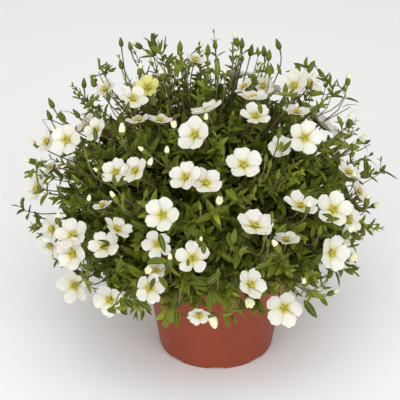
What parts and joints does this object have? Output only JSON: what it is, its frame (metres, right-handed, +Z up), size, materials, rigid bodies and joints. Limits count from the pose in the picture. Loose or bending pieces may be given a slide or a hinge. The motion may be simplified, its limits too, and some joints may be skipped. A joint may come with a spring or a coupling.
{
  "type": "potted mountain sandwort",
  "caption": "Flowering mountain sandwort: a domed bush of thin leafy stems, buds and white five-petalled blooms in a plain round plastic nursery pot.",
  "frame": {"origin": "middle of the pot's foot, on the surface that the pot stands on", "axes": "+Z up the pot; the plant's best side, which a viewer sees first, faces -Y"},
  "size_m": [0.2478, 0.2426, 0.2233],
  "materials": {
    "pot_plastic": "thin moulded terracotta-red plastic, satin",
    "compost": "dark moist peat compost, rough",
    "foliage": "fresh green lance-shaped leaves on thin stems, soft sheen",
    "white_petals": "white satin petals, yellow-green at the throat",
    "cream_petals": "pale cream-yellow satin petals"
  },
  "bodies": {
    "root": {"pot": "pot_plastic", "soil": "compost", "foliage": "foliage", "bloom_01": "white_petals", "bloom_02": "cream_petals", "bloom_03": "white_petals", "bloom_04": "white_petals", "bloom_05": "white_petals", "bloom_06": "white_petals", "bloom_07": "white_petals", "bloom_08": "white_petals", "bloom_09": "white_petals", "bloom_10": "white_petals", "bloom_11": "white_petals", "bloom_12": "white_petals", "bloom_13": "white_petals", "bloom_14": "white_petals", "bloom_15": "white_petals", "bloom_16": "white_petals", "bloom_17": "white_petals", "bloom_18": "white_petals", "bloom_19": "white_petals", "bloom_20": "white_petals", "bloom_21": "white_petals", "bloom_22": "white_petals", "bloom_23": "white_petals", "bloom_24": "white_petals", "bloom_25": "white_petals", "bloom_26": "white_petals", "bloom_27": "white_petals", "bloom_28": "white_petals", "bloom_29": "white_petals", "bloom_30": "white_petals", "bloom_31": "white_petals", "bloom_32": "white_petals", "bloom_33": "white_petals", "bloom_34": "white_petals", "bloom_35": "white_petals", "bloom_36": "white_petals", "bloom_37": "white_petals", "bloom_38": "white_petals", "bloom_39": "white_petals", "bloom_40": "white_petals", "bloom_41": "white_petals", "bloom_42": "white_petals", "bloom_43": "white_petals", "bloom_44": "white_petals", "bloom_45": "white_petals", "bloom_46": "white_petals", "bloom_47": "white_petals", "bloom_48": "white_petals", "bloom_49": "white_petals", "bloom_50": "white_petals", "bloom_51": "white_petals", "bloom_52": "white_petals", "bloom_53": "white_petals", "bloom_54": "white_petals", "bloom_55": "white_petals", "bloom_56": "white_petals", "bloom_57": "white_petals"}
  },
  "joints": []
}
